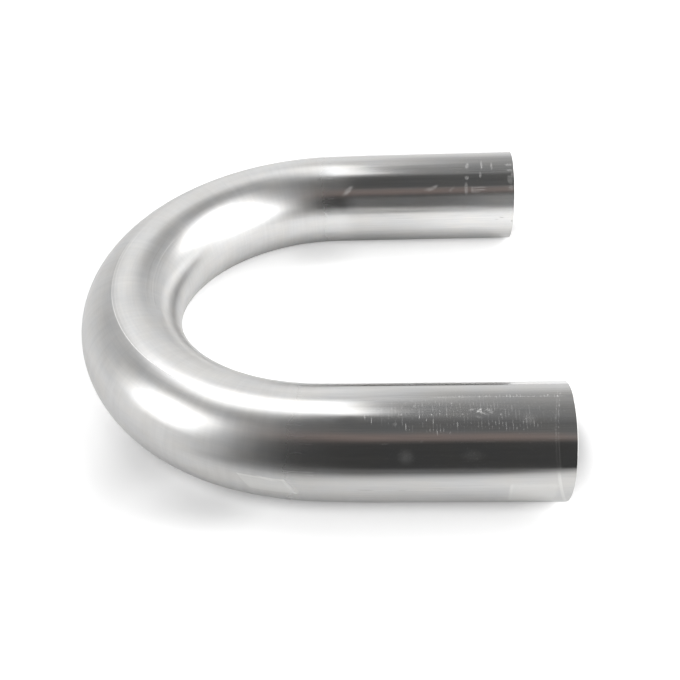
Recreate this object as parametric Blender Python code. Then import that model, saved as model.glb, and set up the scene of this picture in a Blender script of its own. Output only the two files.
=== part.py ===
# Return bend: one length of round steel tube, cold bent over a mandrel until
# its two legs run side by side. It lies flat, with the bend towards -X, the
# open ends towards +X and the near leg on the -Y side. Its origin is on the
# surface it lies on, at the middle of its outline.

import math

import bmesh
import bpy
from mathutils import Vector

# The tube and its run, in metres and degrees
TUBE_OD = 0.0762
TUBE_WALL = 0.00165
BEND_RADIUS = 0.1524
BEND_DEGREES = 180.0
LEG = 0.1540
NEAR_LEG_EXTRA = 0.0010

# What bending does to the section
OUTSIDE_PULLED_IN = 0.0024
OUTSIDE_WALL = 0.00142
INSIDE_WALL = 0.00190
DIE_LIP = 0.0066
RUN_IN = 0.0381

# The saw cuts
NEAR_CUT_LEAN_DEGREES = 1.7
EDGE_BREAK = 0.00025

# Facets round the outside and the inside of the section, and along the tube
OUTSIDE_FACETS = 22
INSIDE_FACETS = 24
BEND_FACETS = 40
RUN_IN_FACETS = 6

TUBE_COLOUR = (0.62, 0.61, 0.59, 1.0)
TUBE_ROUGHNESS = 0.3

TUBE_RADIUS = TUBE_OD / 2
HALF_BEND = math.radians(BEND_DEGREES) / 2
BEND_LENGTH = BEND_RADIUS * 2 * HALF_BEND
NEAR_LEG = LEG + NEAR_LEG_EXTRA
WHOLE_LENGTH = NEAR_LEG + BEND_LENGTH + LEG
UP = Vector((0, 0, 1))


def clear_scene():
    for obj in list(bpy.data.objects):
        bpy.data.objects.remove(obj)


# The centre line

def outward_at(turn):
    """The level direction out of the bend, at an angle from its crown."""
    return Vector((-math.cos(turn), math.sin(turn), 0))


def along_at(turn):
    """The direction of the centre line there, from the near mouth to the far one."""
    return Vector((math.sin(turn), math.cos(turn), 0))


def centre_line(run):
    """Centre, outward direction and direction of travel, at a run from the near mouth."""
    into_bend = min(max(run - NEAR_LEG, 0), BEND_LENGTH)
    turn = into_bend / BEND_RADIUS - HALF_BEND
    past_tangent = run - NEAR_LEG - into_bend
    outward, along = outward_at(turn), along_at(turn)
    return BEND_RADIUS * outward + past_tangent * along, outward, along


def formed_share(run):
    """0 where the tube is still round, 1 where it has its bent section."""
    into_bend = min(run - NEAR_LEG, NEAR_LEG + BEND_LENGTH - run)
    reached = (into_bend + RUN_IN) / (2 * RUN_IN)
    reached = min(max(reached, 0), 1)
    return reached * reached * (3 - 2 * reached)


def spread(first, last, steps):
    return [first + (last - first) * step / steps for step in range(steps + 1)]


def runs():
    """Where the sections stand, measured along the centre line from the near mouth."""
    bend_starts, bend_ends = NEAR_LEG, NEAR_LEG + BEND_LENGTH
    near = spread(bend_starts - RUN_IN, bend_starts, RUN_IN_FACETS)
    bend = spread(bend_starts, bend_ends, BEND_FACETS)
    far = spread(bend_ends, bend_ends + RUN_IN, RUN_IN_FACETS)
    return [0, EDGE_BREAK] + near + bend[1:-1] + far + [WHOLE_LENGTH - EDGE_BREAK, WHOLE_LENGTH]


# The section: angle 0 is the outside of the bend, and 90 degrees is the top

def lip_angle():
    """Up to here the bend die's groove holds the tube round."""
    return math.acos(DIE_LIP / TUBE_RADIUS)


def section_angles():
    """Angles round the section, with a corner on each die lip, the top and the bottom."""
    lip, top, bottom = lip_angle(), math.pi / 2, math.pi * 3 / 2
    outside = spread(-lip, lip, OUTSIDE_FACETS)
    inside = spread(top, bottom, INSIDE_FACETS)
    return outside + inside


def outer_radius(angle, formed):
    from_outside = abs(math.remainder(angle, 2 * math.pi))
    across_lips = min(from_outside / lip_angle(), 1)
    return TUBE_RADIUS - OUTSIDE_PULLED_IN * formed * math.cos(across_lips * math.pi / 2)


def wall_at(angle, formed):
    side = math.cos(angle)
    bent_wall = OUTSIDE_WALL if side > 0 else INSIDE_WALL
    return TUBE_WALL + (bent_wall - TUBE_WALL) * abs(side) * formed


# The skin

def add_ring(bm, run, inner):
    """One ring of points round the outer or the inner skin."""
    centre, outward, along = centre_line(run)
    formed = formed_share(run)
    at_mouth = run in (0, WHOLE_LENGTH)
    edge_trim = EDGE_BREAK if at_mouth else 0
    lean = math.tan(math.radians(NEAR_CUT_LEAN_DEGREES)) if run <= EDGE_BREAK else 0
    ring = []
    for angle in section_angles():
        radius = outer_radius(angle, formed)
        radius += edge_trim - wall_at(angle, formed) if inner else -edge_trim
        height = radius * math.sin(angle)
        point = centre + radius * math.cos(angle) * outward + height * UP - lean * height * along
        ring.append(bm.verts.new(point))
    return ring


def join_rings(bm, ring, next_ring):
    """A strip of four-sided faces from one ring to the next."""
    pairs = list(zip(ring, next_ring))
    for (a, b), (c, d) in zip(pairs, pairs[1:] + pairs[:1]):
        bm.faces.new((a, c, d, b))


def skin_tube(bm):
    """The outer skin from mouth to mouth, the inner skin back, and the cut faces between them."""
    outer = [add_ring(bm, run, inner=False) for run in runs()]
    inner = [add_ring(bm, run, inner=True) for run in reversed(runs())]
    rings = outer + inner
    for ring, next_ring in zip(rings, rings[1:] + rings[:1]):
        join_rings(bm, ring, next_ring)
    bmesh.ops.recalc_face_normals(bm, faces=bm.faces)


def set_on_origin(bm):
    """Moves the tube so that the origin is under the middle of its outline, where it lies."""
    lows = [min(vert.co[axis] for vert in bm.verts) for axis in range(3)]
    highs = [max(vert.co[axis] for vert in bm.verts) for axis in range(3)]
    middle = Vector(((lows[0] + highs[0]) / 2, (lows[1] + highs[1]) / 2, lows[2]))
    bmesh.ops.translate(bm, verts=bm.verts, vec=-middle)


def bare_steel():
    material = bpy.data.materials.new("bare_steel")
    material.use_nodes = True
    shader = material.node_tree.nodes["Principled BSDF"]
    shader.inputs["Base Color"].default_value = TUBE_COLOUR
    shader.inputs["Roughness"].default_value = TUBE_ROUGHNESS
    shader.inputs["Metallic"].default_value = 1.0
    return material


def make_return_bend():
    bm = bmesh.new()
    skin_tube(bm)
    set_on_origin(bm)
    mesh = bpy.data.meshes.new("return_bend")
    bm.to_mesh(mesh)
    bm.free()
    mesh.shade_smooth()
    mesh.set_sharp_from_angle(angle=math.radians(30))
    mesh.materials.append(bare_steel())
    tube = bpy.data.objects.new("return_bend", mesh)
    bpy.context.scene.collection.objects.link(tube)


clear_scene()
make_return_bend()
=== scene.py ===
# Return bend: one length of bare steel tube, bent over a mandrel and laid flat on a white table.
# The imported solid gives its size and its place. This script makes the smooth drawn tube that
# stands in for it, the finish of its metal, the table, the studio light and the camera. Lengths
# are in metres unless a note says otherwise, and angles are in degrees.

import math

import bmesh
import bpy
from mathutils import Matrix, Vector


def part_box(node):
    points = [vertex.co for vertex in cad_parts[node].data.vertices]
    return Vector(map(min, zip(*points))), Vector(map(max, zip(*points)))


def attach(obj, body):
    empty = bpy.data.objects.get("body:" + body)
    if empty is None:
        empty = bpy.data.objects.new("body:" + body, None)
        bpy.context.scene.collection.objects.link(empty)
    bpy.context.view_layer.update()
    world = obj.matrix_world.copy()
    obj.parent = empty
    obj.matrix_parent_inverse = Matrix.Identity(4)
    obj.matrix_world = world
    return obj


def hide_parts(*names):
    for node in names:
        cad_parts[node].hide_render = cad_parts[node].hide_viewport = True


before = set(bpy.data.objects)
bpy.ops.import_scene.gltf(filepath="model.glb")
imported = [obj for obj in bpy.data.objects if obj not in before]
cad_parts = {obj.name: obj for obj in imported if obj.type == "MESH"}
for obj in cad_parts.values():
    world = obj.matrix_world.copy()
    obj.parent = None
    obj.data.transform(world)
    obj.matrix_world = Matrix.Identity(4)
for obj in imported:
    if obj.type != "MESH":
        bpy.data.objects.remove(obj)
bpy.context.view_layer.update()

sceneNow = bpy.context.scene
sceneNow.view_settings.view_transform = "Standard"


# Reading the tube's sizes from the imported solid

tubeLow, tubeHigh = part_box("return_bend")

tube = {
    "wall": 0.00165,
    "outsideWall": 0.00142,      # thinned by stretching
    "insideWall": 0.00190,       # thickened by upsetting
    "pulledIn": 0.0024,          # how far the outside of the bend flattens
    "lipAngle": 80.0,            # the bend die's groove holds the tube round up to here
    "runIn": 0.0381,             # the section changes over this much each side of a tangent
    "cutLean": 1.7,              # the near saw cut leans by this
    "nearLegExtra": 0.0010,
    "edgeBreak": 0.00025,
    "facetsRound": 144,
    "facetsAlong": 320,
    "rimsFrom": 60.0,            # edges turning more than this are the rims
    "mergeWithin": 0.00001,
    "sharpFrom": 20.0,
}

tubeRadius = (tubeHigh.z - tubeLow.z) / 2
bendRadius = (tubeHigh.y - tubeLow.y) / 2 - tubeRadius
bendCentre = Vector((
    tubeLow.x + bendRadius + tubeRadius - tube["pulledIn"],
    (tubeLow.y + tubeHigh.y) / 2,
    tubeLow.z + tubeRadius,
))
leanPerHeight = math.tan(math.radians(tube["cutLean"]))
nearLeg = tubeHigh.x - bendCentre.x - leanPerHeight * tubeRadius
farLeg = nearLeg - tube["nearLegExtra"]
halfBend = bendRadius * math.pi / 2       # run of the centre line from the crown to a tangent

print(f"tube {tubeRadius * 2000:.1f} mm across, on a {bendRadius * 1000:.1f} mm radius")


# Shader sums: a wire is a socket that can be used in Python sums

class Wire:
    def __init__(self, board, socket):
        self.board = board
        self.socket = socket

    def maths(self, operation, *others):
        values = dict(enumerate((self,) + others))
        return self.board.node("ShaderNodeMath", {"operation": operation}, values)

    def __add__(self, other):
        return self.maths("ADD", other)

    def __radd__(self, other):
        return self.maths("ADD", other)

    def __mul__(self, other):
        return self.maths("MULTIPLY", other)

    def __rmul__(self, other):
        return self.maths("MULTIPLY", other)

    def __sub__(self, other):
        return self.maths("SUBTRACT", other)

    def __rsub__(self, other):
        return self.board.node("ShaderNodeMath", {"operation": "SUBTRACT"}, {0: other, 1: self})

    def __truediv__(self, other):
        return self.maths("DIVIDE", other)

    def __neg__(self):
        return self * -1.0

    def __abs__(self):
        return self.maths("ABSOLUTE")

    def atMost(self, other):
        return self.maths("MINIMUM", other)

    def atLeast(self, other):
        return self.maths("MAXIMUM", other)

    def rise(self, low, high):      # 0 below low, 1 above high, smooth between
        values = {"Value": self, "From Min": low, "From Max": high}
        return self.board.node("ShaderNodeMapRange", {"interpolation_type": "SMOOTHSTEP"}, values)

    def fade(self, low, high):      # 1 below low, 0 above high
        return 1.0 - self.rise(low, high)

    def within(self, low, high, edge):      # 1 from low to high, gone an edge beyond them
        return self.rise(low - edge, low) * self.fade(high, high + edge)


class Board:
    def __init__(self, tree):
        self.tree = tree
        tree.nodes.clear()

    def node(self, kind, settings=None, inputs=None, out=0):
        made = self.tree.nodes.new(kind)
        for name, value in (settings or {}).items():
            setattr(made, name, value)
        for name, value in (inputs or {}).items():
            if isinstance(value, Wire):
                self.tree.links.new(value.socket, made.inputs[name])
            else:
                made.inputs[name].default_value = value
        return Wire(self, made.outputs[out]) if len(made.outputs) else None

    def mix(self, share, first, second):      # of two colours
        values = {0: share, 6: first, 7: second}
        return self.node("ShaderNodeMix", {"data_type": "RGBA"}, values, out=2)


# The tube: drawn straight with both its skins, then laid along the bend

def drawStraightTube():
    # X is the run from the crown, near leg first; Y points out of the bend and Z up
    nearEnd = -halfBend - nearLeg
    wholeRun = nearLeg + 2 * halfBend + farLeg
    standAcross = Matrix.Translation((nearEnd, 0, 0)) @ Matrix.Rotation(math.radians(90), 4, "Y")
    bm = bmesh.new()
    bmesh.ops.create_circle(
        bm, cap_ends=True, segments=tube["facetsRound"], radius=tubeRadius, matrix=standAcross)
    plug = list(bm.faces)
    bmesh.ops.inset_region(
        bm, faces=plug, thickness=tube["wall"], use_boundary=True, use_even_offset=True)
    bmesh.ops.delete(bm, geom=plug, context="FACES")
    pulled = bmesh.ops.extrude_face_region(bm, geom=list(bm.faces), use_keep_orig=True)
    farRing = [vert for vert in pulled["geom"] if isinstance(vert, bmesh.types.BMVert)]
    bmesh.ops.translate(bm, vec=(wholeRun, 0, 0), verts=farRing)
    lengthwise = [edge for edge in bm.edges if edge.calc_length() > wholeRun / 2]
    bmesh.ops.subdivide_edges(
        bm, edges=lengthwise, cuts=tube["facetsAlong"] - 1, use_grid_fill=True)
    rims = [
        edge for edge in bm.edges
        if edge.is_manifold and edge.calc_face_angle() > math.radians(tube["rimsFrom"])]
    bmesh.ops.bevel(
        bm, geom=rims, offset=tube["edgeBreak"], affect="EDGES", segments=2, profile=0.5,
        material=-1)
    bmesh.ops.remove_doubles(bm, verts=bm.verts, dist=tube["mergeWithin"])
    bmesh.ops.recalc_face_normals(bm, faces=bm.faces)
    return bm


def rememberDrawnPlace(bm):
    # the finish reads this place on the straight tube, so that its lines follow the bend
    drawn = bm.verts.layers.float_vector.new("drawn")
    for vert in bm.verts:
        vert[drawn] = vert.co * 1000      # in millimetres


def formedShare(run):
    reached = (halfBend - abs(run) + tube["runIn"]) / (2 * tube["runIn"])
    reached = min(max(reached, 0), 1)
    return reached * reached * (3 - 2 * reached)


def pressSection(radius, angle, formed):
    # the outside is pulled in between the die's lips, and each side has its own wall
    fromOutside = min(abs(math.degrees(angle)) / tube["lipAngle"], 1)
    pulled = tube["pulledIn"] * formed * math.cos(math.radians(90 * fromOutside))
    bentWall = tube["outsideWall"] if math.cos(angle) > 0 else tube["insideWall"]
    thinned = (bentWall - tube["wall"]) * abs(math.cos(angle)) * formed
    inwards = (tubeRadius - radius) / tube["wall"]      # 0 on the outer skin, 1 on the inner
    return radius - pulled - thinned * min(max(inwards, 0), 1)


def bendTube(bm):
    nearRim = tube["edgeBreak"] * 1.5 - halfBend - nearLeg      # up to here the near cut leans
    for vert in bm.verts:
        run, out, height = vert.co
        angle = math.atan2(height, out)
        radius = pressSection(math.hypot(out, height), angle, formedShare(run))
        turn = min(max(run, -halfBend), halfBend) / bendRadius
        pastTangent = run - turn * bendRadius
        if run < nearRim:
            pastTangent -= leanPerHeight * height
        outward = Vector((-math.cos(turn), math.sin(turn), 0))
        along = Vector((math.sin(turn), math.cos(turn), 0))
        place = (bendRadius + radius * math.cos(angle)) * outward + pastTangent * along
        vert.co = bendCentre + place + Vector((0, 0, radius * math.sin(angle)))


def makeTube():
    bm = drawStraightTube()
    rememberDrawnPlace(bm)
    bendTube(bm)
    mesh = bpy.data.meshes.new("drawn_tube")
    bm.to_mesh(mesh)
    bm.free()
    mesh.shade_smooth()
    mesh.set_sharp_from_angle(angle=math.radians(tube["sharpFrom"]))
    piece = bpy.data.objects.new("drawn_tube", mesh)
    sceneNow.collection.objects.link(piece)
    return piece


# The metal's finish. From here to the table every length is in millimetres, read off the tube as
# it was drawn: along it from the crown or past a tangent, and around it from the top, outwards.

steel = {
    "coolColour": (0.611, 0.614, 0.616, 1),
    "warmColour": (0.630, 0.621, 0.605, 1),
    # worn marks, and the painted highlight on the crease at the bend's lip
    "wearAndHighlightColour": (0.86, 0.85, 0.84, 1),
    "scratchColour": (0.30, 0.295, 0.285, 1),
    # the painted reflections of the lit table, low on the near leg, take this
    "reflectionColour": (0.75, 0.748, 0.730, 1),
    "boreColour": (0.47, 0.455, 0.43, 1),
    "cutColour": (0.66, 0.65, 0.635, 1),
    "legRoughness": 0.13,
    "farRoughness": 0.16,
    "bendRoughness": 0.32,
    "endRoughness": 0.10,        # beyond the clamp's edge, by the near mouth
    "boreRoughness": 0.40,
    "boreLines": 0.30,           # how much the lines of drawing roughen the bore
    "cutRoughness": 0.33,
    "leastRoughness": 0.05,
    "legsAtMost": 0.262,         # marks stay glossy on the legs
    "legsEnd": (0.5, 0.8),       # and may be duller over these shares of the way into the bend
    "calmRun": (-30, 6, 8),      # past a tangent, where the roughness changes
    "calmShare": 0.95,
    "sidesBlend": 100,           # the near side passes into the far side this far from the crown
    "nearLegFrom": (50, 60),     # past the tangent
    "skinEnds": (0.7, 0.3),      # of the wall, from the outside, where the outer skin begins
    "cutFace": (0.15, 0.03),     # how deep the colour of the cut goes in
}

# Noise over the drawn tube: stretch along and across, scale, detail and roughness
grains = {
    "drawing": (0.014, 1.0, 0.85, 4.0, 0.65),
    "fine": (0.02, 1.0, 2.6, 2.0, 0.6),
    "clouds": (0.45, 1.0, 0.055, 3.0, 0.55),
    "tints": (0.6, 1.0, 0.09, 2.0, 0.5),
    "brushing": (1.0, 0.10, 0.28, 3.0, 0.6),      # across the bend
    "speckle": (1.0, 1.0, 0.8, 3.0, 0.6),
    "strokes": (0.8, 0.35, 0.75, 2.0, 0.6),
    "grit": (1.0, 1.0, 1.5, 2.0, 0.6),
    "hairlines": (0.03, 2.3, 1.0, 2.0, 0.5),
}

# Where some of them are turned into spots and strokes
cutOffs = {
    "hairlines": (0.66, 0.74),
    "ragged": (0.42, 0.60),      # of the speckle
    "strokes": (0.46, 0.64),
    "grit": (0.40, 0.56),
    "hairs": (0.50, 0.62),       # of the drawing lines
    "tints": (0.30, 0.70),
}

# How much each changes the colour's strength, adds to the roughness, takes off the metal's share
# and adds to the relief
shading = {
    "clouds": 0.22, "brushing": 0.16,      # on the bend alone
    "drawing": 0.24, "fine": 0.16, "lessInBend": 0.55,
    "tints": 0.7,      # share of the tints in the change from cool to warm, beside the drawing lines
}
roughening = {
    "clouds": 0.06, "drawing": 0.05, "speckle": 0.03, "hairlines": 0.08,
    "light": 0.12, "haze": 0.30, "farHaze": 0.05, "reflectionPatches": 0.08,
}
dulling = {"light": 0.42, "haze": 0.16, "farHaze": 0.22, "reflectionPatches": 0.30}
relief = {"drawing": 0.0035, "fine": 0.0012, "speckle": 0.0020, "lip": 0.030, "distance": 0.001}

# Marks lie past a tangent and at degrees from the outside of the bend, over the top. Each gives
# its leg (-1 near, 1 far), place, half length, half width, slant and strength.
scuffs = (
    (-1, 52.2, 71.0, 0.8, 0.8, 0, 0.50),
    (-1, 60.0, 80.0, 0.4, 1.5, 0, 0.40),
    (-1, 70.2, 70.8, 0.6, 0.7, 0, 0.65),
    (-1, 82.6, 82.2, 0.5, 2.2, 0, 0.45),
    (-1, 88.9, 71.0, 0.6, 0.6, 0, 0.45),
    (-1, 111.5, 70.5, 0.6, 0.9, 0, 0.45),
    (-1, 126.0, 66.0, 0.5, 0.5, 0, 0.35),
    (-1, 94.8, 75.6, 2.8, 0.8, 12, 0.45),
    (-1, 98.6, 74.4, 2.6, 0.9, 40, 0.50),
    (-1, 99.4, 73.0, 2.8, 0.9, -25, 0.45),
    (-1, 99.8, 74.6, 0.9, 2.6, 5, 0.35),
    (-1, 104.6, 75.4, 2.8, 0.8, 4, 0.40),
    (-1, 105.6, 73.2, 2.4, 1.5, -20, 0.32),
    (-1, 102.6, 71.0, 3.0, 0.9, -12, 0.30),
    (-1, 98.6, 68.0, 2.6, 0.9, -15, 0.25),
    (-1, 48.3, 61.8, 1.6, 1.3, 30, 0.30),
    (-1, 42.0, 44.0, 2.4, 0.5, 4, 0.18),
    (-1, 64.0, 46.0, 1.0, 0.6, 0, 0.20),
    (-1, 73.5, 52.5, 0.5, 1.4, 0, 0.30),
    (-1, 81.0, 53.5, 0.5, 1.2, 0, 0.30),
    (-1, -25.0, 5.0, 7.0, 1.4, -14, 0.40),
    (1, 11.5, 140.0, 7.0, 2.4, 45, 0.50),
    (1, 84.5, 139.0, 6.0, 1.9, 28, 0.50),
    (1, 79.5, 140.5, 3.6, 1.1, 28, 0.30),
    (1, 100.6, 141.0, 3.8, 1.0, 45, 0.34),
    (1, 114.4, 108.0, 1.8, 4.4, -14, 0.50),
    (1, 113.7, 126.5, 2.2, 2.2, 30, 0.55),
    (1, 112.9, 140.0, 1.9, 6.2, 0, 0.46),
    (1, 126.7, 107.0, 1.1, 6.4, 0, 0.60),
    (1, 125.2, 123.0, 1.2, 3.4, 0, 0.55),
    (1, 135.2, 109.0, 1.1, 5.4, 0, 0.52),
    (1, 124.0, 139.6, 7.5, 0.7, 0, 0.40),
    (1, 124.0, 142.6, 7.5, 0.7, 0, 0.50),
    (1, 121.0, 145.2, 5.0, 0.6, 0, 0.40),
    (1, 118.0, 142.0, 0.9, 3.4, 0, 0.40),
    (1, 150.0, 108.0, 4.2, 1.8, 0, 0.50),
    (1, 150.4, 117.0, 3.0, 1.4, 0, 0.50),
    (1, 150.2, 130.0, 2.8, 4.8, 12, 0.34),
    (1, 152.2, 124.0, 1.2, 3.4, 0, 0.45),
    (1, 151.0, 141.0, 2.4, 3.0, -10, 0.32),
)

dullPlaces = (      # rounder and softer, such as a fingerprint leaves
    (-1, 54.6, 32.0, 6.5, 6.5, 0, 0.30),
    (-1, 94.0, 33.0, 9.0, 5.0, 0, 0.14),
    (-1, 128.0, 66.0, 6.0, 5.0, 0, 0.25),
    (-1, 20.0, 66.0, 9.0, 4.0, 0, -0.20),      # glossier, like the next
    (-1, 22.0, 13.0, 20.0, 8.0, 0, -0.10),
    (1, 40.0, 170.0, 9.0, 5.0, 0, 0.15),
    (1, 100.0, 166.0, 16.0, 6.0, 0, 0.12),
)
glossiest = -0.3      # the haze goes no lower than this

scratches = (
    (-1, 30.0, -4.0, 6.5, 0.35, 0, 0.55),
    (-1, 52.0, -4.6, 3.5, 0.25, 0, 0.40),
    (-1, 74.0, -2.0, 5.0, 0.20, 0, 0.25),
    (1, 152.8, 186.0, 0.6, 1.0, 0, 0.95),
    (1, 143.6, 180.0, 2.6, 0.40, -14, 0.70),
    (1, 139.5, 183.0, 1.8, 0.35, 0, 0.50),
    (1, 60.0, 178.0, 12.0, 0.22, 0, 0.28),
    (1, 104.0, 176.0, 9.0, 0.25, 2, 0.30),
    (1, 128.0, 117.5, 22.0, 0.30, 1, 0.40),
    (1, 40.0, 119.0, 26.0, 0.25, 0, 0.30),
)

tickRows = (      # rows of fine ticks across the leg, given as marks are
    (-1, 33.0, 67.0, 6.5, 2.6, -32, 0.55),
    (-1, 55.8, 58.5, 6.5, 2.6, -20, 0.55),
    (-1, 66.7, 66.5, 7.0, 2.6, -24, 0.55),
    (-1, 77.5, 73.0, 5.0, 2.0, 0, 0.50),
    (-1, 88.0, 61.0, 8.0, 2.2, 0, 0.50),
    (-1, 74.0, 55.0, 10.0, 1.8, 0, 0.45),
    (-1, 112.0, 91.5, 44.0, 1.6, 0, 0.55),
    (-1, 142.0, 91.0, 10.0, 2.0, 0, 0.50),
    (-1, 118.0, 60.0, 24.0, 4.0, 0, 0.34),
    (-1, 86.0, 72.0, 74.0, 14.0, 0, 0.24),
)
tick = {"pitch": 2.05, "width": (0.06, 0.22)}      # the width as shares of the pitch

# How much of each kind of mark is its soft edge
softEdge = {"scuffs": 0.45, "dullPlaces": 0.9, "scratches": 0.5, "tickRows": 0.5}
cleanestGrit = 0.25      # a scuff shows this much between its grit


class TubeChart:      # wires that tell where on the drawn tube a point lies
    def __init__(self, board):
        self.board = board
        self.drawn = board.node("ShaderNodeAttribute", {"attribute_name": "drawn"}, out="Vector")
        self.along, self.out, self.height = (
            board.node("ShaderNodeSeparateXYZ", {}, {0: self.drawn}, out=side) for side in "XYZ")
        self.radius = tubeRadius * 1000
        self.half = halfBend * 1000
        self.past = abs(self.along) - self.half      # beyond the tangent, on either leg
        runIn = tube["runIn"] * 1000
        self.inBend = self.past.fade(-runIn, runIn)
        self.farSide = self.along.rise(-steel["sidesBlend"], steel["sidesBlend"])
        self.around = self.out.maths("ARCTAN2", self.height) * self.radius
        self.unrolled = board.node("ShaderNodeCombineXYZ", {}, {0: self.along, 1: self.around})
        fromCentre = (self.out * self.out + self.height * self.height).maths("SQRT")
        self.outerSkin = fromCentre.rise(
            *(self.radius - share * tube["wall"] * 1000 for share in steel["skinEnds"]))
        self.pastNear = -self.along - self.half
        self.pastFar = self.along - self.half
        self.onNearLeg = self.pastNear.rise(*steel["nearLegFrom"]) * self.outerSkin

    def grain(self, lengthwise, crosswise, scale, detail, roughness):
        place = self.board.node(
            "ShaderNodeVectorMath", {"operation": "MULTIPLY"},
            {0: self.drawn, 1: (lengthwise, crosswise, crosswise)})
        values = {"Vector": place, "Scale": scale, "Detail": detail, "Roughness": roughness}
        return self.board.node("ShaderNodeTexNoise", {}, values)

    def marked(self, marks, soft):
        # the strengths of these marks at a place, added up
        reached = 0.0
        for leg, past, turned, long, wide, slant, strength in marks:
            centre = (leg * (self.half + past), self.radius * math.radians(90 - turned), 0)
            local = self.board.node("ShaderNodeMapping", {"vector_type": "TEXTURE"}, {
                "Vector": self.unrolled, "Location": centre,
                "Rotation": (0, 0, math.radians(slant)), "Scale": (long, wide, 1)})
            away = self.board.node(
                "ShaderNodeVectorMath", {"operation": "LENGTH"}, {0: local}, out="Value")
            reached = away.fade(1 - soft, 1) * strength + reached
        return reached


# Lines that the bend die's lips leave beside the flat of the bend. The bright line at the lip is
# partly the die's burnished line and partly a painted highlight on the crease there, and the darkening
# just outside the lip is painted shade. A run is from, to and its soft edge, and a width is where a
# line starts to fade and where it is gone.
dieLines = {
    "wander": 1.2,
    "lipRun": (-150, 8, 40), "lipWidth": (0.08, 0.44), "lipStrength": 0.95,
    "lipFadesOver": (-70, -15), "lipFades": 0.55,
    "besideLip": (0.4, 1.4, 1.0), "besideLipPaintedShade": 0.05,
    "secondAt": -2.3, "secondRun": (-70, 30, 25), "secondWidth": (0.1, 0.45),
    "secondStrength": 0.22,
    "innerTurn": -35,      # degrees around from the top
    "innerRun": (-45, 40, 20), "innerWidth": (0.1, 0.5), "innerStrength": 0.25,
    "besideInner": -1.0, "besideInnerWidth": (0.1, 0.6), "besideInnerDark": 0.06,
    "hairs": (-3, 6, 2), "hairsDark": 0.10,
}


def dieLinesAndPaintedCrease(chart, grain):
    # the lip's own line, all the light lines with the painted highlight on the crease, and all the
    # dark ones with the painted shade beside the lip
    wander = (grain["clouds"] - 0.5) * dieLines["wander"]
    fromLip = chart.around - chart.radius * math.radians(90 - tube["lipAngle"]) + wander * 0.5
    lipRun = chart.along.within(*dieLines["lipRun"]) * chart.outerSkin
    lipLine = abs(fromLip).fade(*dieLines["lipWidth"]) * lipRun
    lipLine = lipLine * (1 - dieLines["lipFades"] * chart.along.rise(*dieLines["lipFadesOver"]))
    besideLip = fromLip.within(*dieLines["besideLip"]) * lipRun
    second = abs(fromLip - dieLines["secondAt"]).fade(*dieLines["secondWidth"])
    second = second * chart.along.within(*dieLines["secondRun"]) * chart.outerSkin
    fromInner = chart.around - chart.radius * math.radians(dieLines["innerTurn"]) + wander
    innerRun = chart.along.within(*dieLines["innerRun"]) * chart.outerSkin
    inner = abs(fromInner).fade(*dieLines["innerWidth"]) * innerRun
    besideInner = abs(fromInner - dieLines["besideInner"]).fade(*dieLines["besideInnerWidth"])
    hairs = grain["drawing"].rise(*cutOffs["hairs"]) * fromInner.within(*dieLines["hairs"])
    light = (lipLine * dieLines["lipStrength"] + second * dieLines["secondStrength"]
             + inner * dieLines["innerStrength"])
    dark = (besideLip * dieLines["besideLipPaintedShade"]
            + (besideInner * dieLines["besideInnerDark"] + hairs * dieLines["hairsDark"]) * innerRun)
    return lipLine, light, dark


# The clamp's edge near the near mouth is cut by a plane, and beyond it the tube is glossier
clampEdge = {
    "past": 156.8, "perHeight": -0.23, "perOut": -0.2257,
    "lines": ((0.0, 1.0), (-1.6, 0.7)),      # past the edge, and strength
    "width": (0.1, 0.45),
    "strength": 0.50,
    "ragged": (-2, 23, 6),      # around; elsewhere the lines are whole and faint
    "faint": 0.25,
    "beyond": (0, 0.3),
    # the strip before the edge is a painted reflection of the lit table
    "strip": (-1.9, -0.5, 0.5), "stripStrength": 0.7,
    "stripTurn": (68.8, 76.8),      # degrees around from the top, where it comes up
}


def clampMarks(chart, grain):
    # its light lines, the part beyond it and the pale strip low before it, a painted reflection of the
    # lit table
    fromEdge = chart.past - (
        clampEdge["past"] + clampEdge["perHeight"] * chart.height + clampEdge["perOut"] * chart.out)
    lines = 0.0
    for past, strength in clampEdge["lines"]:
        lines = abs(fromEdge - past).fade(*clampEdge["width"]) * strength + lines
    shown = chart.around.within(*clampEdge["ragged"]) * (grain["ragged"] - clampEdge["faint"])
    shown = (shown + clampEdge["faint"]) * clampEdge["strength"]
    low = chart.around.rise(*(chart.radius * math.radians(turn) for turn in clampEdge["stripTurn"]))
    strip = fromEdge.within(*clampEdge["strip"]) * low * clampEdge["stripStrength"]
    beyond = fromEdge.rise(*clampEdge["beyond"])
    return lines * shown * chart.onNearLeg, beyond * chart.onNearLeg, strip * chart.onNearLeg


# Two pale patches low on the near leg, painted reflections of the lit table: where they lie past the
# tangent and around from a low line, where their paler edges lie, how far each leans and how much it
# shows
reflectionPatches = (
    {"run": (-40.4, -15.9), "around": (0, 13.3), "edgeRun": (-17.4, -16.4),
     "edgeAround": (0, 1.0), "lean": 0.45, "strength": 0.55},
    {"run": (117, 145), "around": (2, 22), "edgeRun": (117, 118.2),
     "edgeAround": (19.6, 21.4), "lean": 0.0, "strength": 0.45},
)
reflectionLook = {
    "lowLine": 84,      # degrees around from the top
    "soft": 0.5, "edgeSoft": 0.4, "edgeStrength": 0.35,
    "evenly": 0.4, "byClouds": 1.2,
}


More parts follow.
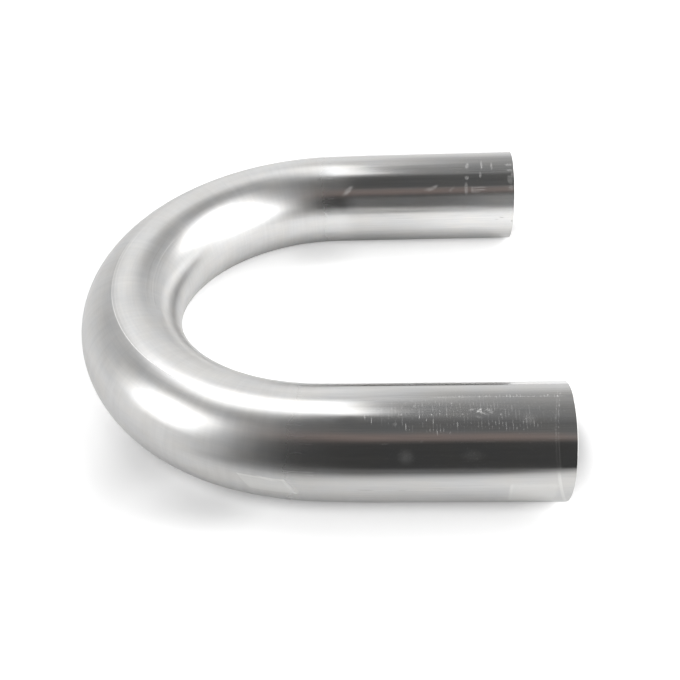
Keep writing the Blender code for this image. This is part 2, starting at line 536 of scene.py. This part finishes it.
def paintReflectionPatches(chart, grain):
    below = chart.around - chart.radius * math.radians(reflectionLook["lowLine"])
    fill, edges = 0.0, 0.0
    for patch in reflectionPatches:
        run = chart.pastNear - below * patch["lean"]
        covered = run.within(*patch["run"], reflectionLook["soft"]) * chart.outerSkin
        covered = covered * below.within(*patch["around"], reflectionLook["soft"])
        edge = run.within(*patch["edgeRun"], reflectionLook["edgeSoft"])
        edge = edge + below.within(*patch["edgeAround"], reflectionLook["edgeSoft"])
        fill = covered * patch["strength"] + fill
        edges = edge * covered * reflectionLook["edgeStrength"] + edges
    return fill * (reflectionLook["evenly"] + reflectionLook["byClouds"] * grain["clouds"]), edges


# The far leg is dulled along its dark side, has painted shade in a strip above it and is darker below
farLegLook = {
    "starts": (2, 22),
    "haze": (-54, -42, 6), "hazeGrows": (90, 140), "hazeLeast": 0.60,
    "shadedStrip": (-30.5, -22, 2.5), "shadedStripDepth": 0.30,
    "under": (-56, -50), "underFades": (45, 110), "underDark": 0.14,
}


def farLegMarks(chart):
    # its haze, and what darkens it: the painted shade in the strip and the darker underside
    body = chart.pastFar.rise(*farLegLook["starts"]) * chart.outerSkin
    least = farLegLook["hazeLeast"]
    grown = least + (1 - least) * chart.pastFar.rise(*farLegLook["hazeGrows"])
    shadedStrip = chart.around.within(*farLegLook["shadedStrip"]) * farLegLook["shadedStripDepth"]
    under = chart.around.fade(*farLegLook["under"]) * chart.pastFar.fade(*farLegLook["underFades"])
    haze = chart.around.within(*farLegLook["haze"]) * body * grown
    return haze, (shadedStrip + under * farLegLook["underDark"]) * body


# A dotted line runs on top of the near leg
topLine = {
    "around": -0.3, "width": (0.10, 0.45), "past": (72, 150, 3), "faint": 0.35, "strength": 0.50}


def rubbedMarks(chart, grain):
    grit = cleanestGrit + (1 - cleanestGrit) * grain["grit"].rise(*cutOffs["grit"])
    rubs = chart.marked(scuffs, softEdge["scuffs"]) * grit
    comb = abs((chart.along / tick["pitch"]).maths("FRACT") - 0.5).fade(*tick["width"])
    strokes = grain["strokes"].rise(*cutOffs["strokes"])
    ticks = comb * chart.marked(tickRows, softEdge["tickRows"]) * strokes
    dots = topLine["faint"] + (1 - topLine["faint"]) * grain["ragged"]
    line = abs(chart.around - topLine["around"]).fade(*topLine["width"])
    line = line * chart.past.within(*topLine["past"]) * chart.onNearLeg * dots
    return (rubs + ticks + line * topLine["strength"]) * chart.outerSkin


def cutFaces(chart):
    covered = 0.0
    for past, leg in ((chart.pastNear, nearLeg), (chart.pastFar, farLeg)):
        covered = past.rise(*(leg * 1000 - depth for depth in steel["cutFace"])) + covered
    return covered


def makeSteel():
    material = bpy.data.materials.new("bareSteel")
    material.use_nodes = True
    board = Board(material.node_tree)
    chart = TubeChart(board)
    inBend, outerSkin = chart.inBend, chart.outerSkin
    grain = {name: chart.grain(*values) for name, values in grains.items()}
    grain["ragged"] = grain["speckle"].rise(*cutOffs["ragged"])
    uneven = {name: grain[name] - 0.5 for name in ("drawing", "fine", "clouds", "brushing", "speckle")}

    lipLine, lightLinesAndHighlight, darkLinesAndShade = dieLinesAndPaintedCrease(chart, grain)
    clampLight, beyondClamp, reflectionStrip = clampMarks(chart, grain)
    reflectionFill, reflectionEdges = paintReflectionPatches(chart, grain)
    farHaze, farDark = farLegMarks(chart)
    # worn marks and light lines, with the painted highlight on the crease at the bend's lip
    light = (rubbedMarks(chart, grain) + clampLight + lightLinesAndHighlight).atMost(1)
    haze = (chart.marked(dullPlaces, softEdge["dullPlaces"]) * outerSkin).atLeast(glossiest)
    scratched = (chart.marked(scratches, softEdge["scratches"]) * outerSkin).atMost(1)
    cut = cutFaces(chart)

    mottle = grain["tints"] * shading["tints"] + grain["drawing"] * (1 - shading["tints"])
    warmth = mottle.rise(*cutOffs["tints"])
    lines = uneven["drawing"] * shading["drawing"] + uneven["fine"] * shading["fine"]
    bendClouds = uneven["clouds"] * shading["clouds"] + uneven["brushing"] * shading["brushing"]
    shade = 1 + bendClouds * inBend + lines * (1 - shading["lessInBend"] * inBend)
    # takes off the dark lines, the painted shade beside the lip and in the far leg's strip, and the
    # far leg's darker underside
    shade = shade - darkLinesAndShade - farDark
    colour = board.mix(warmth, steel["coolColour"], steel["warmColour"])
    colour = board.node("ShaderNodeVectorMath", {"operation": "SCALE"}, {0: colour, "Scale": shade})
    # painted reflections of the lit table, low on the near leg
    colour = board.mix((reflectionFill + reflectionStrip + reflectionEdges).atMost(1), colour, steel["reflectionColour"])
    # paler where worn, and along the painted highlight at the bend's lip
    colour = board.mix(light, colour, steel["wearAndHighlightColour"])
    colour = board.mix(scratched, colour, steel["scratchColour"])
    colour = board.mix(outerSkin, steel["boreColour"], colour)
    colour = board.mix(cut, colour, steel["cutColour"])

    onLegs = steel["legRoughness"] + chart.farSide * (steel["farRoughness"] - steel["legRoughness"])
    roughness = onLegs + inBend * (steel["bendRoughness"] - onLegs)
    calm = 1 - chart.past.within(*steel["calmRun"]) * steel["calmShare"]
    fineGrain = uneven["drawing"] * roughening["drawing"] + uneven["speckle"] * roughening["speckle"]
    roughness = roughness + uneven["clouds"] * roughening["clouds"] + fineGrain * calm
    roughness = roughness + beyondClamp * (steel["endRoughness"] - steel["legRoughness"])
    roughness = roughness + light * roughening["light"] + haze * roughening["haze"]
    roughness = roughness + farHaze * roughening["farHaze"] + reflectionFill * roughening["reflectionPatches"]
    hairlines = grain["hairlines"].rise(*cutOffs["hairlines"])
    roughness = roughness + hairlines * roughening["hairlines"]
    roughness = roughness.atMost(inBend.rise(*steel["legsEnd"]) + steel["legsAtMost"])
    inBore = steel["boreRoughness"] + uneven["drawing"] * steel["boreLines"]
    roughness = inBore + outerSkin * (roughness - inBore)
    roughness = roughness + cut * (steel["cutRoughness"] - roughness)

    metallic = 1 - light * dulling["light"] - haze.atLeast(0) * dulling["haze"]
    metallic = metallic - farHaze * dulling["farHaze"] - reflectionFill * dulling["reflectionPatches"]
    raised = grain["drawing"] * relief["drawing"] + grain["fine"] * relief["fine"]
    raised = raised + grain["speckle"] * relief["speckle"] + lipLine * relief["lip"]
    bumped = {"Height": raised, "Distance": relief["distance"], "Strength": 1.0}
    bump = board.node("ShaderNodeBump", {}, bumped)
    metal = board.node("ShaderNodeBsdfPrincipled", {}, {
        "Base Color": colour,
        "Metallic": metallic,
        "Roughness": roughness.atLeast(steel["leastRoughness"]),
        "Normal": bump,
    })
    board.node("ShaderNodeOutputMaterial", {}, {"Surface": metal})
    return material


drawnTube = makeTube()
drawnTube.data.materials.append(makeSteel())
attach(drawnTube, "root")
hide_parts("return_bend")
print(f"drawn tube: {len(drawnTube.data.polygons)} faces")


# The table

table = {
    "size": 8.0,
    "colour": (0.80, 0.80, 0.80, 1),
    "white": (1, 1, 1, 1),
    # the little light that takes the bare table to white: at the contact, beyond it, and from
    # where to where it grows, counted from the floor right below the tube's centre line
    "outsideLift": (0.09, 0.44, 0.012, 0.029),
    "insideLift": (0.35, 0.47, 0.011, 0.018),
    "insideBlend": 0.001,
    "pastMouths": (0.166, 0.188),
    "glossFrom": (0.019, 0.052),
    "glossInwards": 0.003,      # it starts this much farther in between the legs
    "glossLift": 0.12,
    "poolLift": 0.10,           # the table shines more between the legs and to the right
    "poolAcross": (-0.22, -0.08),
    "poolAway": (-0.16, -0.02),
    # softer shade on the table beyond the tube's own: place, half sizes and depth
    "shades": (
        (-0.116, -0.158, 0.058, 0.055, 0.20),
        (-0.125, -0.116, 0.055, 0.055, 0.13),
        (-0.066, -0.177, 0.055, 0.030, 0.24),
        (0.000, 0.118, 0.050, 0.030, 0.14),
        (0.172, -0.172, 0.040, 0.020, -0.20),      # lighter here
    ),
    "mouthShade": (0.176, -0.116, 0.036, 0.062, 0.92),      # beside the near mouth
    "mouthLevel": 0.20,
}


def shadeBy(x, y, shade):
    middleX, middleY, halfX, halfY, depth = shade
    across, away = (x - middleX) / halfX, (y - middleY) / halfY
    return (across * across + away * away).maths("SQRT").fade(0, 1) * depth


def makeWhitePaint():
    material = bpy.data.materials.new("whiteTable")
    material.use_nodes = True
    board = Board(material.node_tree)
    seen, glossy, through = (board.node("ShaderNodeLightPath", out=name) for name in (
        "Is Camera Ray", "Is Glossy Ray", "Is Transmission Ray"))
    place = board.node("ShaderNodeTexCoord", out="Object")
    x, y = (board.node("ShaderNodeSeparateXYZ", {}, {0: place}, out=side) for side in "XY")
    behind = (x - bendCentre.x).atMost(0)
    fromCentreLine = (behind * behind + y * y).maths("SQRT") - bendRadius
    lifts = []
    for least, most, starts, ends in (table["outsideLift"], table["insideLift"]):
        lifts.append(least + abs(fromCentreLine).rise(starts, ends) * (most - least))
    inside = fromCentreLine.fade(-table["insideBlend"], table["insideBlend"])
    lift = lifts[0] + inside * (lifts[1] - lifts[0])
    lift = lift + x.rise(*table["pastMouths"]) * (table["outsideLift"][1] - lift)
    for shade in table["shades"]:
        lift = lift - shadeBy(x, y, shade)
    clear = abs(fromCentreLine + table["glossInwards"]).rise(*table["glossFrom"]) * glossy
    pool = x.rise(*table["poolAcross"]) * y.rise(*table["poolAway"]) * clear
    strength = seen.atLeast(through) * lift + clear * table["glossLift"] + pool * table["poolLift"]
    paint = board.mix(pool, table["colour"], table["white"])
    matt = board.node("ShaderNodeBsdfDiffuse", {}, {"Color": paint})
    glow = board.node("ShaderNodeEmission", {}, {"Color": table["white"], "Strength": strength})
    both = board.node("ShaderNodeAddShader", {}, {0: matt, 1: glow})
    dimmed = {"Color": table["white"], "Strength": table["mouthLevel"]}
    dim = board.node("ShaderNodeEmission", {}, dimmed)
    atMouth = shadeBy(x, y, table["mouthShade"]) * seen
    shaded = board.node("ShaderNodeMixShader", {}, {0: atMouth, 1: both, 2: dim})
    board.node("ShaderNodeOutputMaterial", {}, {"Surface": shaded})
    return material


def makeTable():
    bm = bmesh.new()
    bmesh.ops.create_grid(bm, x_segments=1, y_segments=1, size=table["size"] / 2)
    mesh = bpy.data.meshes.new("table")
    bm.to_mesh(mesh)
    bm.free()
    piece = bpy.data.objects.new("table", mesh)
    sceneNow.collection.objects.link(piece)
    mesh.materials.append(makeWhitePaint())


makeTable()
print("table laid")


# The studio: a pale room, softboxes with soft edges, and dark cards on the camera's side

room = {
    "dimmest": (0, -0.31, 0.95),      # the way to its darkest place, overhead and a little forward
    "level": 0.92,
    # cosines of the angle from the darkest place, and how much the level falls between them
    "falls": ((-0.20, 0.45, 0.46), (0.40, 0.92, 0.20), (0.90, 1.0, 0.11)),
}

softboxes = {      # heading: 0 is away from the camera, 90 to the right; spans in degrees
    "right": {
        "heading": 99.5, "height": 29.5, "wide": 88, "high": 58, "reach": 1.3,
        "radiance": 2.6, "soft": 0.30, "turned": 32},
    "left": {
        "heading": -112, "height": 27, "wide": 36, "high": 44, "reach": 1.6,
        "radiance": 2.9, "soft": 0.45, "turned": 0},
    "top": {
        "heading": -38, "height": 63, "wide": 34, "high": 41, "reach": 5.0,
        "radiance": 2.8, "soft": 0.42, "turned": -31, "cornerCut": (0.95, 1.50)},
    "back": {
        "heading": -16, "height": 35, "wide": 42, "high": 60, "reach": 3.0,
        "radiance": 0.45, "soft": 0.65, "turned": 0},
}

darkCards = {
    "reach": 0.97,             # of the upright card, in front of the origin
    "endsAt": 0.17,            # the flat one lies from there to here
    "low": 0.0008,             # and just above the table
    "top": 2.0,
    "half": 1.2,
    "startsAt": 0.20, "fullAt": 0.37,         # in front of the origin
    "slant": -0.15,
    "leftFrom": (-0.22, -0.20), "leftHeading": -150,
    "rightFrom": (0.17, -0.20), "rightHeading": 158,
    "edge": (-0.04, 0.10),
    "level": 0.060,
    "nearLevel": 0.19,         # where the table runs into the dark
    "nearFrom": (-0.90, -0.30),
    "band": (0.27, 0.22, 0.205),
    "bandLow": 0.74, "bandFull": 1.12, "bandEnd": 1.75,
    "topLevel": 0.165,
}


def heading(degrees, height):
    turn, rise = math.radians(degrees), math.radians(height)
    level = math.cos(rise)
    return Vector((math.sin(turn) * level, math.cos(turn) * level, math.sin(rise)))


def makeRoom():
    world = bpy.data.worlds.new("room")
    sceneNow.world = world
    world.use_nodes = True
    board = Board(world.node_tree)
    direction = board.node("ShaderNodeTexCoord", out="Generated")
    towardsDim = board.node(
        "ShaderNodeVectorMath", {"operation": "DOT_PRODUCT"},
        {0: direction, 1: room["dimmest"]}, out="Value")
    level = room["level"]
    for starts, ends, drop in room["falls"]:
        level = level - towardsDim.rise(starts, ends) * drop
    seen = board.node("ShaderNodeLightPath", out="Is Camera Ray")
    level = level.atLeast(seen)      # the camera sees it white
    colour = board.node("ShaderNodeCombineColor", {}, {0: level, 1: level, 2: level})
    light = board.node("ShaderNodeBackground", {}, {"Color": colour, "Strength": 1.0})
    board.node("ShaderNodeOutputWorld", {}, {"Surface": light})


def makeSoftbox(name, box):
    light = bpy.data.lights.new(name + "Softbox", "AREA")
    light.shape = "RECTANGLE"
    light.size = 2 * box["reach"] * math.tan(math.radians(box["wide"] / 2))
    light.size_y = 2 * box["reach"] * math.tan(math.radians(box["high"] / 2))
    light.energy = box["radiance"] * math.pi * light.size * light.size_y
    light.use_nodes = True
    board = Board(light.node_tree)
    place = board.node("ShaderNodeNewGeometry", out="Parametric")
    x, y = (board.node("ShaderNodeSeparateXYZ", {}, {0: place}, out=side) * 2 - 1 for side in "XY")
    strength = abs(x).fade(1 - box["soft"], 1) * abs(y).fade(1 - box["soft"], 1)
    if "cornerCut" in box:      # its lower left corner
        strength = strength * (x - y).fade(*box["cornerCut"])
    glow = board.node("ShaderNodeEmission", {}, {"Strength": strength})
    board.node("ShaderNodeOutputLight", {}, {"Surface": glow})
    lamp = bpy.data.objects.new(name + "Softbox", light)
    direction = heading(box["heading"], box["height"])
    lamp.location = direction * box["reach"] + Vector((0, 0, tubeRadius))
    facing = direction.to_track_quat("Z", "Y").to_matrix()
    turned = Matrix.Rotation(math.radians(box["turned"]), 3, "Z")
    lamp.rotation_euler = (facing @ turned).to_euler()
    lamp.visible_camera = False
    sceneNow.collection.objects.link(lamp)


def makeCardPaint():
    # only reflections see the cards, so they give their own level and fade out at the sides
    material = bpy.data.materials.new("darkCard")
    material.use_nodes = True
    board = Board(material.node_tree)
    place = board.node("ShaderNodeTexCoord", out="Object")
    x, y, z = (board.node("ShaderNodeSeparateXYZ", {}, {0: place}, out=side) for side in "XYZ")
    opacity = (x * darkCards["slant"] - y).rise(darkCards["startsAt"], darkCards["fullAt"])
    for side, inwards in (("left", 1), ("right", -1)):
        along = heading(darkCards[side + "Heading"], 0)
        start = darkCards[side + "From"]
        inside = ((x - start[0]) * -along.y - (y - start[1]) * -along.x) * inwards
        opacity = opacity * inside.rise(*darkCards["edge"])
    nearness = y.rise(*darkCards["nearFrom"])
    flat = darkCards["level"] + nearness * (darkCards["nearLevel"] - darkCards["level"])
    banded = z.rise(darkCards["bandLow"], darkCards["bandFull"])
    ended = z.rise(darkCards["bandFull"], darkCards["bandEnd"])
    levels = []
    for part in darkCards["band"]:
        level = flat + banded * (part - darkCards["level"])
        levels.append(level + ended * (darkCards["topLevel"] - part))
    colour = board.node("ShaderNodeCombineColor", {}, dict(enumerate(levels)))
    glow = board.node("ShaderNodeEmission", {}, {"Color": colour, "Strength": 1.0})
    clear = board.node("ShaderNodeBsdfTransparent")
    card = board.node("ShaderNodeMixShader", {}, {0: opacity, 1: clear, 2: glow})
    board.node("ShaderNodeOutputMaterial", {}, {"Surface": card})
    return material


def makeDarkCards():
    reach, half = darkCards["reach"], darkCards["half"]
    bm = bmesh.new()
    foot = [bm.verts.new((side * half, -reach, darkCards["low"])) for side in (-1, 1)]
    edge = bm.edges.new(foot)
    for move in ((0, reach - darkCards["endsAt"], 0), (0, 0, darkCards["top"])):
        pulled = bmesh.ops.extrude_edge_only(bm, edges=[edge])
        moved = [vert for vert in pulled["geom"] if isinstance(vert, bmesh.types.BMVert)]
        bmesh.ops.translate(bm, vec=move, verts=moved)
    mesh = bpy.data.meshes.new("dark_cards")
    bm.to_mesh(mesh)
    bm.free()
    piece = bpy.data.objects.new("dark_cards", mesh)
    sceneNow.collection.objects.link(piece)
    mesh.materials.append(makeCardPaint())
    for rays in ("camera", "diffuse", "transmission", "volume_scatter", "shadow"):
        setattr(piece, "visible_" + rays, False)


makeRoom()
for name, box in softboxes.items():
    makeSoftbox(name, box)
makeDarkCards()
print("studio lit")


# The camera

camera = {
    "stand": (0.062493, -0.547863, 0.447477),
    "turn": 4.2325,       # to the left
    "tilt": 39.3202,      # below level
    "roll": -3.5119,
    "lens": 46.877,       # in millimetres, like the sensor
    "sensor": 36.0,
    "clipStart": 0.01,
}


def makeCamera():
    lens = bpy.data.cameras.new("camera")
    lens.sensor_width = camera["sensor"]
    lens.lens = camera["lens"]
    lens.clip_start = camera["clipStart"]
    piece = bpy.data.objects.new("camera", lens)
    piece.matrix_world = (
        Matrix.Translation(camera["stand"])
        @ Matrix.Rotation(math.radians(camera["turn"]), 4, "Z")
        @ Matrix.Rotation(math.radians(90 - camera["tilt"]), 4, "X")
        @ Matrix.Rotation(math.radians(camera["roll"]), 4, "Z"))
    sceneNow.collection.objects.link(piece)
    sceneNow.camera = piece


makeCamera()
print("camera placed")
